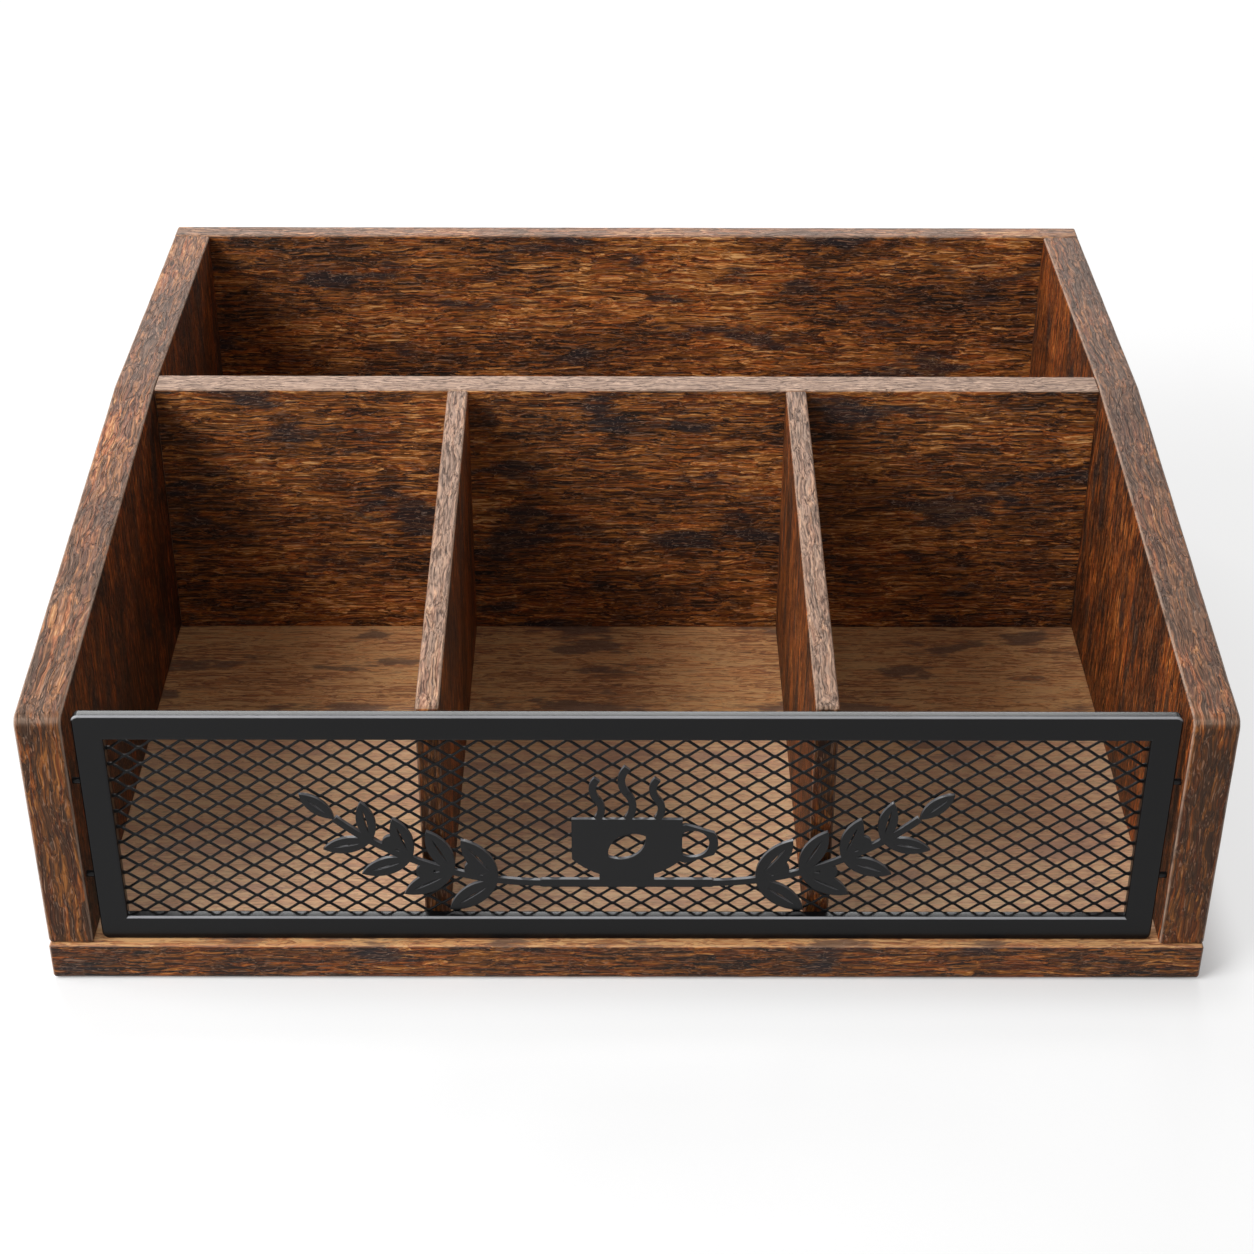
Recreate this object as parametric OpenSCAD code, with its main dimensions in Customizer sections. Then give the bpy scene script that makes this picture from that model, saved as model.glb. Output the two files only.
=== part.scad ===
// Counter-top organizer: a box of wood boards with one long compartment at the back,
// three at the front, and a wire-mesh front in a black steel frame.
// The origin is on the underside, in the middle. X runs to the right, Y to the back, Z up.

/* [Outside] */
// Width over the side panels
body_w = 320; // [260:1:420]
// Depth from the base's front edge to the back panel's rear face
body_d = 290; // [240:1:360]
// Height of the side panels at their front edge
front_h = 88; // [76:1:92]
// Height of the side panels at the knee
knee_h = 101; // [94:1:116]
// Fall of the side panels' top edge from the knee to the back
back_fall = 3; // [0:1:6]
// Distance from the base's front edge to the knee
knee_y = 163; // [130:1:180]

/* [Boards] */
// Thickness of the base board
base_t = 12; // [9:0.5:18]
// Thickness of the side panels
side_t = 12.5; // [10:0.5:18]
// Thickness of the back panel
back_t = 8; // [5:0.5:15]
// Thickness of the cross divider
cross_t = 10; // [8:0.5:15]
// Thickness of the two short dividers
divider_t = 6.5; // [6:0.5:10]
// Rounding of the side panels' front top corners
front_r = 3; // [1:0.5:6]
// Step from the base's front edge back to the side panels
side_setback = 1; // [0:0.5:2]

/* [Compartments] */
// Distance from the cross divider's front face forward to the knee
cross_lead = 2; // [0:0.5:6]
// Step from the knee down to the cross divider's top
cross_drop = 0.5; // [0:0.5:4]
// Clear width of the middle front compartment
middle_w = 99; // [70:1:120]
// Step from the frame's top down to the dividers' front ends
divider_drop = 0.7; // [0:0.1:4]
// Clearance between the mesh and the dividers' front ends
divider_clear = 0.8; // [0.3:0.1:3]

/* [Front frame] */
// Gap between the frame and each side panel
frame_gap = 1.5; // [0.5:0.1:3]
// Step from the base's front edge back to the frame
frame_setback = 3; // [1:0.5:6]
// Step from the side panels' front height down to the frame's top
frame_drop = 0.3; // [0:0.1:3]
// Width of the frame's bars, seen from the front
bar_w = 7.8; // [6:0.1:12]
// Thickness of the frame's bars, front to back
bar_t = 3.2; // [3:0.1:5]
// Rounding of the frame's outer corners
frame_r = 2; // [0.5:0.5:4]

/* [Mesh] */
// Thickness of the mesh sheet
mesh_t = 1; // [0.6:0.1:2]
// How far the mesh reaches behind the frame's bars
mesh_lap = 3; // [1:0.5:5]
// Number of diamonds side by side
mesh_columns = 18; // [14:1:22]
// Number of diamonds above each other
mesh_rows = 7; // [5:1:7]
// Width of the strands between two diamonds
strand_w = 1.3; // [0.8:0.1:2]

/* [Ornament] */
// Thickness of the cut sheet
ornament_t = 1.2; // [0.8:0.1:1.6]
// Width of the cup at its rim
cup_w = 30; // [20:1:36]
// Height of the cup, from its foot to its rim
cup_h = 22; // [16:1:24]
// Height of the steam over the cup
steam_h = 17; // [10:1:18]
// Width of the saucer
saucer_w = 46; // [40:1:56]
// Width of the stems and steam lines
stem_w = 2; // [1.4:0.1:3]
// Radius of each sprig's curve
sprig_r = 82; // [76:1:120]
// Angle that each sprig covers on its curve
sprig_turn = 43; // [26:1:44]
// Leaf pairs on each sprig
leaf_pairs = 5; // [3:1:6]
// Length of the largest leaves
leaf_l = 17; // [12:0.5:20]
// Width of the largest leaves
leaf_w = 6.5; // [5:0.5:8]
// Diameter of the round berries
berry_d = 5; // [3:0.5:7]

/* [Fasteners] */
// Shank diameter of the wood screws in the thick boards
screw_d = 3.5; // [3:0.1:4]
// Length of the wood screws in the thick boards
screw_l = 30; // [24:1:36]
// Shank diameter of the wood screws in the short dividers and the back panel
thin_screw_d = 2.5; // [2:0.1:2.7]
// Length of the wood screws in the short dividers and the back panel
thin_screw_l = 25; // [21:1:32]
// Depth of the screw heads below the board's face
head_sink = 0.4; // [0.2:0.1:1]
// Diameter of the dowels between the side panels and the cross divider
dowel_d = 6; // [4:0.5:7]
// Diameter of the dowels between the cross divider and the short dividers
thin_dowel_d = 3; // [2:0.5:4]
// Depth of each dowel in each board
dowel_depth = 7; // [5:0.5:8]
// Diameter of the pins between the frame and the side panels
pin_d = 1.8; // [1:0.1:2.2]
// Depth of each pin in the frame and in the side panel
pin_depth = 5; // [3:0.5:5.5]
// Distance from the ends of a joint to its outermost screw, dowel or pin
end_margin = 22; // [18:1:26]
// Radial clearance between a fastener and its hole
hole_clear = 0.05; // [0.02:0.01:0.2]

/* [Hidden] */
$fn = 64;
tiny = 0.01;
head_ratio = 2;
head_h_ratio = 0.55;
tip_ratio = 1.4;
slot_ratio = 0.22;
slot_reach = 0.55;
slot_sink = 0.7;
tip_end = 0.25;
corner_steps = 6;

front_y = -body_d / 2;
rear_y = body_d / 2;
side_front_y = front_y + side_setback;
side_rear_y = rear_y - back_t;
knee_at = front_y + knee_y;
side_x = body_w / 2 - side_t / 2;
inner_w = body_w - 2 * side_t;
back_h = knee_h - back_fall;

cross_front_y = knee_at - cross_lead;
cross_mid_y = cross_front_y + cross_t / 2;
front_slope = (knee_h - front_h) / (knee_at - side_front_y);
cross_top = knee_h - front_slope * cross_lead - cross_drop;
divider_x = (middle_w + divider_t) / 2;

frame_w = inner_w - 2 * frame_gap;
frame_bottom = base_t;
frame_top = front_h - frame_drop;
frame_h = frame_top - frame_bottom;
frame_mid_z = (frame_top + frame_bottom) / 2;
frame_front_y = front_y + frame_setback;
frame_rear_y = frame_front_y + bar_t;
frame_mid_y = frame_front_y + bar_t / 2;
opening_w = frame_w - 2 * bar_w;
opening_h = frame_h - 2 * bar_w;

mesh_w = opening_w + 2 * mesh_lap;
mesh_h = opening_h + 2 * mesh_lap;
mesh_rear_y = frame_rear_y + mesh_t;
mesh_rim = strand_w / 2;
mesh_pitch_x = (mesh_w - 2 * mesh_rim) / mesh_columns;
mesh_pitch_z = (mesh_h - 2 * mesh_rim) / mesh_rows;
gap_w = mesh_pitch_x - strand_w * sqrt(1 + pow(mesh_pitch_x / mesh_pitch_z, 2));
gap_h = gap_w * mesh_pitch_z / mesh_pitch_x;

divider_front_y = mesh_rear_y + divider_clear;
divider_front_top = frame_top - divider_drop;

foot_z = -(cup_h + steam_h) / 2;
rim_z = foot_z + cup_h;
bowl_r = cup_h * 0.92;
saucer_h = cup_h * 0.12;
handle_r = cup_h * 0.26;
handle_drop = cup_h * 0.38;
handle_t = stem_w * 1.2;
handle_reach = 140;
bean_l = cup_h * 0.56;
bean_w = bean_l * 0.62;
bean_seam = bean_l * 0.16;
bean_drop = 0.42;
bean_lean = 35;
wisp_bend = 40;
wisp_gap = cup_w * 0.27;
side_steam_h = steam_h * 0.78;
leaf_lean = 46;
sprig_start = -90;
leaf_taper = 0.07;
vein_start = 0.24;
vein_l = 0.56;
vein_w = 0.1;
berry_lead = 0.6;

// Evenly spaced places from one margin to the other
function spread(from, to, count) = [for (i = [0 : count - 1]) from + (to - from) * i / (count - 1)];

// Where the fasteners of each joint sit; the upright joints start clear over the screws from below
side_screw_ys = spread(side_front_y + end_margin, side_rear_y - end_margin, 3);
cross_screw_xs = spread(-inner_w / 2 + end_margin, inner_w / 2 - end_margin, 4);
divider_screw_ys = spread(divider_front_y + end_margin, cross_front_y - end_margin, 2);
back_screw_xs = spread(-inner_w / 2 + end_margin, inner_w / 2 - end_margin, 3);
joint_low_z = screw_l + screw_d + dowel_d;
back_screw_zs = spread(joint_low_z, back_h - end_margin, 2);
cross_dowel_zs = spread(joint_low_z, cross_top - end_margin, 2);
divider_dowel_zs = spread(joint_low_z, cross_top - end_margin, 2);
pin_zs = spread(frame_bottom + end_margin, frame_top - end_margin, 2);

// A countersunk wood screw that enters at the origin and points up
module wood_screw(d, l) {
    head_r = d * head_ratio / 2;
    head_h = d * head_h_ratio;
    tip_h = d * tip_ratio;
    slot = d * slot_ratio;
    translate([0, 0, head_sink])
        difference() {
            union() {
                cylinder(r1 = head_r, r2 = d / 2, h = head_h);
                cylinder(d = d, h = l - head_sink - tip_h);
                translate([0, 0, l - head_sink - tip_h])
                    cylinder(d1 = d, d2 = d * tip_end, h = tip_h);
            }
            for (turn = [0, 90])
                rotate([0, 0, turn])
                    translate([-head_r * slot_reach, -slot / 2, -tiny])
                        cube([2 * head_r * slot_reach, slot, head_h * slot_sink]);
        }
}

// The hole that a wood screw needs, as deep as the screw is long
module screw_hole(d, l) {
    head_r = d * head_ratio / 2 + hole_clear;
    head_h = d * head_h_ratio;
    translate([0, 0, -tiny])
        cylinder(d = d + 2 * hole_clear, h = l + tiny + hole_clear);
    translate([0, 0, -tiny])
        cylinder(r = head_r, h = head_sink + tiny);
    translate([0, 0, head_sink])
        cylinder(r1 = head_r, r2 = d / 2 + hole_clear, h = head_h);
}

// A dowel or pin along X, centred, and its hole
module dowel(d, half) {
    rotate([0, 90, 0])
        cylinder(d = d, h = 2 * half, center = true);
}

module dowel_hole(d, half) {
    rotate([0, 90, 0])
        cylinder(d = d + 2 * hole_clear, h = 2 * (half + hole_clear), center = true);
}

// Calls its children at each place where that joint has a fastener
module at_side_screws(side) {
    for (y = side_screw_ys)
        translate([side * side_x, y, 0])
            children();
}

module at_cross_screws() {
    for (x = cross_screw_xs)
        translate([x, cross_mid_y, 0])
            children();
}

module at_divider_screws(side) {
    for (y = divider_screw_ys)
        translate([side * divider_x, y, 0])
            children();
}

module at_back_base_screws() {
    for (x = back_screw_xs)
        translate([x, rear_y - back_t / 2, 0])
            children();
}

module at_back_side_screws(side) {
    for (z = back_screw_zs)
        translate([side * side_x, rear_y, z])
            rotate([90, 0, 0])
                children();
}

module at_cross_dowels(side) {
    for (z = cross_dowel_zs)
        translate([side * inner_w / 2, cross_mid_y, z])
            children();
}

module at_divider_dowels(side) {
    for (z = divider_dowel_zs)
        translate([side * divider_x, cross_front_y, z])
            rotate([0, 0, 90])
                children();
}

module at_frame_pins(side) {
    for (z = pin_zs)
        translate([side * (frame_w + frame_gap) / 2, frame_mid_y, z])
            children();
}

// Turns a flat outline, drawn with the depth as X and the height as Y, into an upright board
module upright_board(t) {
    rotate([90, 0, 90])
        linear_extrude(height = t, center = true)
            children();
}

// Lays a flat outline, drawn with X and height, in the plane of the front
module front_plate(from_y, t) {
    translate([0, from_y + t, 0])
        rotate([90, 0, 0])
            linear_extrude(height = t)
                children();
}

// A corner's rounding: the arc that touches both edges that meet at the corner b
function unit(v) = v / norm(v);
function corner_arc(a, b, c, r, steps) =
    let (u = unit(a - b), v = unit(c - b))
    let (half = acos(u * v) / 2)
    let (middle = b + unit(u + v) * r / sin(half))
    let (from = unit(b + u * r / tan(half) - middle), to = unit(b + v * r / tan(half) - middle))
    let (sweep = 180 - 2 * half)
    [for (i = [0 : steps])
        middle + r * (from * sin(sweep * (1 - i / steps)) + to * sin(sweep * i / steps)) / sin(sweep)];

// The side panels' profile, seen from the side, with its corners rounded
module side_profile() {
    low_front = [side_front_y, base_t];
    top_front = [side_front_y, front_h];
    knee = [knee_at, knee_h];
    top_rear = [side_rear_y, back_h];
    polygon(concat(
        [low_front],
        corner_arc(low_front, top_front, knee, front_r, corner_steps),
        [knee],
        [top_rear],
        [[side_rear_y, base_t]]
    ));
}

module side_panel(side) {
    difference() {
        translate([side * side_x, 0, 0])
            upright_board(side_t)
                side_profile();
        at_side_screws(side)
            screw_hole(screw_d, screw_l);
        at_back_side_screws(side)
            screw_hole(screw_d, screw_l);
        at_cross_dowels(side)
            dowel_hole(dowel_d, dowel_depth);
        at_frame_pins(side)
            dowel_hole(pin_d, pin_depth + frame_gap / 2);
    }
}

// A short divider's top runs straight from the cross divider down to the frame
module short_divider(side) {
    difference() {
        translate([side * divider_x, 0, 0])
            upright_board(divider_t)
                polygon([
                    [divider_front_y, base_t],
                    [divider_front_y, divider_front_top],
                    [cross_front_y, cross_top],
                    [cross_front_y, base_t]
                ]);
        at_divider_screws(side)
            screw_hole(thin_screw_d, thin_screw_l);
        at_divider_dowels(side)
            dowel_hole(thin_dowel_d, dowel_depth);
    }
}

// One side of the frame's ring: the ring cut by the two mitres at that side's ends
module frame_ring() {
    difference() {
        union() {
            translate([-frame_w / 2 + frame_r, -frame_h / 2])
                square([frame_w - 2 * frame_r, frame_h]);
            translate([-frame_w / 2, -frame_h / 2 + frame_r])
                square([frame_w, frame_h - 2 * frame_r]);
            for (x = [-1, 1])
                for (z = [-1, 1])
                    translate([x * (frame_w / 2 - frame_r), z * (frame_h / 2 - frame_r)])
                        circle(r = frame_r);
        }
        square([opening_w, opening_h], center = true);
    }
}

module rail(side) {
    front_plate(frame_front_y, bar_t)
        translate([0, frame_mid_z])
            intersection() {
                frame_ring();
                polygon([
                    [-frame_w / 2, side * frame_h / 2],
                    [frame_w / 2, side * frame_h / 2],
                    [opening_w / 2, side * opening_h / 2],
                    [-opening_w / 2, side * opening_h / 2]
                ]);
            }
}

module stile(side) {
    difference() {
        front_plate(frame_front_y, bar_t)
            translate([0, frame_mid_z])
                intersection() {
                    frame_ring();
                    polygon([
                        [side * frame_w / 2, -frame_h / 2],
                        [side * frame_w / 2, frame_h / 2],
                        [side * opening_w / 2, opening_h / 2],
                        [side * opening_w / 2, -opening_h / 2]
                    ]);
                }
        at_frame_pins(side)
            dowel_hole(pin_d, pin_depth + frame_gap / 2);
    }
}

// The mesh's gaps: a grid of diamonds and, between its rows, a second one half a pitch aside
function gap_centres(columns, rows) = [
    for (row = [0 : rows - 1])
        for (column = [0 : columns - 1])
            [(column - (columns - 1) / 2) * mesh_pitch_x, (row - (rows - 1) / 2) * mesh_pitch_z]
];
function diamond(at) = [
    at + [-gap_w / 2, 0], at + [0, gap_h / 2], at + [gap_w / 2, 0], at + [0, -gap_h / 2]
];

module mesh_sheet() {
    centres = concat(
        gap_centres(mesh_columns, mesh_rows),
        gap_centres(mesh_columns - 1, mesh_rows - 1)
    );
    outline = [
        [-mesh_w / 2, -mesh_h / 2], [mesh_w / 2, -mesh_h / 2],
        [mesh_w / 2, mesh_h / 2], [-mesh_w / 2, mesh_h / 2]
    ];
    corners = [for (centre = centres) each diamond(centre)];
    polygon(
        points = concat(outline, corners),
        paths = concat(
            [[0, 1, 2, 3]],
            [for (i = [0 : len(centres) - 1]) [for (k = [0 : 3]) 4 + 4 * i + k]]
        )
    );
}

// A pointed leaf along X from the origin, with a slit for its vein
module lens(l, w) {
    r = (l * l + w * w) / (4 * w);
    intersection() {
        translate([l / 2, r - w / 2])
            circle(r = r);
        translate([l / 2, -r + w / 2])
            circle(r = r);
    }
}

module leaf(l, w) {
    difference() {
        lens(l, w);
        translate([l * vein_start, 0])
            lens(l * vein_l, w * vein_w);
    }
}

// A stretch of a ring, from angle a to angle b, both counted from X
module arc(r, w, a, b) {
    reach = 2 * (r + w);
    middle = (a + b) / 2;
    intersection() {
        difference() {
            circle(r = r + w / 2);
            circle(r = r - w / 2);
        }
        polygon([
            [0, 0],
            reach * [cos(a), sin(a)],
            reach * [cos(middle), sin(middle)],
            reach * [cos(b), sin(b)]
        ]);
    }
}

// One rising wisp: two bends to opposite sides
module wisp(h) {
    r = h / 4 / sin(wisp_bend);
    aside = r * cos(wisp_bend);
    reach = wisp_bend + 1;
    translate([-aside, h / 4])
        arc(r, stem_w, -reach, reach);
    translate([aside, h * 3 / 4])
        arc(r, stem_w, 180 - reach, 180 + reach);
}

// The cup's bowl is the lower part of a disc, with a coffee bean cut out of it
module cup_bowl() {
    bean_at = [0, rim_z - bean_drop * cup_h];
    difference() {
        union() {
            intersection() {
                translate([0, rim_z])
                    circle(r = bowl_r);
                translate([-cup_w / 2, rim_z - bowl_r])
                    square([cup_w, bowl_r]);
            }
            translate([-cup_w / 4, foot_z])
                square([cup_w / 2, cup_h - bowl_r + saucer_h]);
        }
        translate(bean_at)
            rotate(bean_lean)
                translate([-bean_l / 2, 0])
                    difference() {
                        lens(bean_l, bean_w);
                        lens(bean_l, bean_seam);
                    }
    }
}

module cup() {
    cup_bowl();
    translate([cup_w / 2 + handle_r / 2, rim_z - handle_drop])
        arc(handle_r, handle_t, -handle_reach, handle_reach);
    translate([-saucer_w / 2, foot_z - saucer_h / 2])
        square([saucer_w, saucer_h]);
    for (x = [-1, 1])
        translate([x * saucer_w / 2, foot_z])
            circle(d = saucer_h);
    for (i = [-1 : 1])
        translate([i * wisp_gap, rim_z - tiny])
            wisp(i == 0 ? steam_h : side_steam_h);
}

// A sprig that leaves the saucer's end and curves up, with leaves on both sides
module sprig() {
    translate([saucer_w / 2, foot_z + sprig_r])
        union() {
            arc(sprig_r, stem_w, sprig_start - 1, sprig_start + sprig_turn);
            for (i = [1 : leaf_pairs]) {
                at = sprig_start + sprig_turn * i / leaf_pairs;
                size = 1 - leaf_taper * (i - 1);
                for (lean = i == leaf_pairs ? [0] : [-leaf_lean, leaf_lean])
                    translate(sprig_r * [cos(at), sin(at)])
                        rotate(at - sprig_start + lean)
                            leaf(leaf_l * size, leaf_w * size);
            }
            for (i = [1 : leaf_pairs - 2]) {
                at = sprig_start + sprig_turn * (i + berry_lead) / leaf_pairs;
                out = sprig_r + (i % 2 == 0 ? 1 : -1) * berry_d / 2;
                translate(out * [cos(at), sin(at)])
                    circle(d = berry_d);
            }
        }
}

module base_board() {
    color("#4a2f1d")
        difference() {
            translate([-body_w / 2, front_y, 0])
                cube([body_w, body_d, base_t]);
            for (side = [-1, 1]) {
                at_side_screws(side)
                    screw_hole(screw_d, screw_l);
                at_divider_screws(side)
                    screw_hole(thin_screw_d, thin_screw_l);
            }
            at_cross_screws()
                screw_hole(screw_d, screw_l);
            at_back_base_screws()
                screw_hole(thin_screw_d, thin_screw_l);
        }
}

module left_side_panel() {
    color("#553521")
        side_panel(-1);
}

module right_side_panel() {
    color("#553521")
        side_panel(1);
}

module back_panel() {
    color("#4d301e")
        difference() {
            translate([-body_w / 2, rear_y - back_t, base_t])
                cube([body_w, back_t, back_h - base_t]);
            at_back_base_screws()
                screw_hole(thin_screw_d, thin_screw_l);
            for (side = [-1, 1])
                at_back_side_screws(side)
                    screw_hole(screw_d, screw_l);
        }
}

module cross_divider() {
    color("#4d301e")
        difference() {
            translate([-inner_w / 2, cross_front_y, base_t])
                cube([inner_w, cross_t, cross_top - base_t]);
            at_cross_screws()
                screw_hole(screw_d, screw_l);
            for (side = [-1, 1]) {
                at_cross_dowels(side)
                    dowel_hole(dowel_d, dowel_depth);
                at_divider_dowels(side)
                    dowel_hole(thin_dowel_d, dowel_depth);
            }
        }
}

module left_divider() {
    color("#5a3a25")
        short_divider(-1);
}

module right_divider() {
    color("#5a3a25")
        short_divider(1);
}

module frame_top_rail() {
    color("#141414")
        rail(1);
}

module frame_bottom_rail() {
    color("#141414")
        rail(-1);
}

module frame_left_stile() {
    color("#141414")
        stile(-1);
}

module frame_right_stile() {
    color("#141414")
        stile(1);
}

module mesh_panel() {
    color("#1a1a1a")
        front_plate(frame_rear_y, mesh_t)
            translate([0, frame_mid_z])
                mesh_sheet();
}

module front_ornament() {
    color("#101010")
        front_plate(frame_rear_y - ornament_t, ornament_t)
            translate([0, frame_mid_z])
                union() {
                    cup();
                    sprig();
                    mirror([1, 0])
                        sprig();
                }
}

module frame_pins() {
    color("#141414")
        for (side = [-1, 1])
            at_frame_pins(side)
                dowel(pin_d, pin_depth + frame_gap / 2);
}

module side_base_screws() {
    color("#8c8c8c")
        for (side = [-1, 1])
            at_side_screws(side)
                wood_screw(screw_d, screw_l);
}

module cross_base_screws() {
    color("#8c8c8c")
        at_cross_screws()
            wood_screw(screw_d, screw_l);
}

module divider_base_screws() {
    color("#8c8c8c")
        for (side = [-1, 1])
            at_divider_screws(side)
                wood_screw(thin_screw_d, thin_screw_l);
}

module back_base_screws() {
    color("#8c8c8c")
        at_back_base_screws()
            wood_screw(thin_screw_d, thin_screw_l);
}

module back_side_screws() {
    color("#8c8c8c")
        for (side = [-1, 1])
            at_back_side_screws(side)
                wood_screw(screw_d, screw_l);
}

module cross_dowels() {
    color("#c8a06a")
        for (side = [-1, 1])
            at_cross_dowels(side)
                dowel(dowel_d, dowel_depth);
}

module divider_dowels() {
    color("#c8a06a")
        for (side = [-1, 1])
            at_divider_dowels(side)
                dowel(thin_dowel_d, dowel_depth);
}

base_board();
left_side_panel();
right_side_panel();
back_panel();
cross_divider();
left_divider();
right_divider();
frame_top_rail();
frame_bottom_rail();
frame_left_stile();
frame_right_stile();
mesh_panel();
front_ornament();
frame_pins();
side_base_screws();
cross_base_screws();
divider_base_screws();
back_base_screws();
back_side_screws();
cross_dowels();
divider_dowels();
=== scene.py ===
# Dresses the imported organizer: wood boards, a coated steel frame with expanded mesh, a cut-sheet
# ornament and the fasteners. Lengths in the dictionaries are millimetres and angles are degrees;
# only the floor, the lamps and what says so are in metres.
import math

import bmesh
import bpy
from mathutils import Matrix, Vector, noise


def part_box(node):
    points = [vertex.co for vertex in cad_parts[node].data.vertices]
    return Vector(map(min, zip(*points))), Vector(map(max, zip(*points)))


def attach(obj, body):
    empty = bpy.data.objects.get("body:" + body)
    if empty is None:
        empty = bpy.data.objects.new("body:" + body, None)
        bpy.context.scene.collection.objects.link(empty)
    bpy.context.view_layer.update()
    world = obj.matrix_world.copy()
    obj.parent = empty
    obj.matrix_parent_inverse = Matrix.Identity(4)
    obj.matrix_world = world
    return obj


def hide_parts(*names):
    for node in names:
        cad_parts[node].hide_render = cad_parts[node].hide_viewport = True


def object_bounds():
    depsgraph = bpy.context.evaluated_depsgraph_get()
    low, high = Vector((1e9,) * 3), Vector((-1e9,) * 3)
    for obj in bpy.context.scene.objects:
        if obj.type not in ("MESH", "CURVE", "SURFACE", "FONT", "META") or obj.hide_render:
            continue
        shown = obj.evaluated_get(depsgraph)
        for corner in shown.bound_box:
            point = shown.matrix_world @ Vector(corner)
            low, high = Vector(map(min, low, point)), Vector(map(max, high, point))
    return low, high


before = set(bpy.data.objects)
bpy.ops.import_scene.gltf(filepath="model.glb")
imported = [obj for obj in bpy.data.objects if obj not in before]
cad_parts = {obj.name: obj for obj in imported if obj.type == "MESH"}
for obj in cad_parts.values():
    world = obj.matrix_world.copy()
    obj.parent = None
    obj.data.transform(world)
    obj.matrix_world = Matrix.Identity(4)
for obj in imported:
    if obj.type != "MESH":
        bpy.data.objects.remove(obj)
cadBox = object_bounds()
mm = 0.001


def degrees(angle):
    return math.radians(angle)


def shade(*screen):  # a colour as a screen shows it, 0 to 255, for a shader's socket
    parts = [c / 255 for c in screen]
    return tuple(c / 12.92 if c < 0.0404 else ((c + 0.055) / 1.055) ** 2.4 for c in parts) + (1,)


view = {"place": (-1.41, -659.99, 456.34), "pitch": 33.32, "yaw": 0.14, "roll": -0.16,
        "lens": 69.97, "sensor": 36, "reach": 20000}


def makeCamera():
    pitch, yaw, roll = (degrees(view[key]) for key in ("pitch", "yaw", "roll"))
    ahead = Vector((math.sin(yaw) * math.cos(pitch), math.cos(yaw) * math.cos(pitch), -math.sin(pitch)))
    level = Vector((math.cos(yaw), -math.sin(yaw), 0))
    down = ahead.cross(level)
    right = level * math.cos(roll) + down * math.sin(roll)
    up = level * math.sin(roll) - down * math.cos(roll)
    data = bpy.data.cameras.new("camera")
    data.lens = view["lens"]
    data.sensor_width = view["sensor"]
    data.clip_end = view["reach"] * mm
    eye = bpy.data.objects.new("camera", data)
    turn = Matrix((right, up, -ahead)).transposed().to_4x4()
    eye.matrix_world = Matrix.Translation(Vector(view["place"]) * mm) @ turn
    bpy.context.scene.collection.objects.link(eye)
    bpy.context.scene.camera = eye


makeCamera()
print("camera is in place")


class Flow:  # one output of a node; arithmetic on it adds Math nodes
    def __init__(self, recipe, socket):
        self.recipe = recipe
        self.socket = socket

    def math(self, operation, first, *others):
        return self.recipe.node("Math", {"operation": operation}, dict(enumerate((first,) + others)))

    def __add__(self, other):
        return self.math("ADD", self, other)

    def __radd__(self, other):
        return self.math("ADD", other, self)

    def __sub__(self, other):
        return self.math("SUBTRACT", self, other)

    def __rsub__(self, other):
        return self.math("SUBTRACT", other, self)

    def __mul__(self, other):
        return self.math("MULTIPLY", self, other)

    def __rmul__(self, other):
        return self.math("MULTIPLY", other, self)

    def __abs__(self):
        return self.math("ABSOLUTE", self)

    def above(self, edge, soft):  # 0 under the edge, 1 over it
        reach = {"Value": self, "From Min": edge - soft, "From Max": edge + soft}
        return self.recipe.node("MapRange", {"interpolation_type": "SMOOTHSTEP"}, reach)


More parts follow.
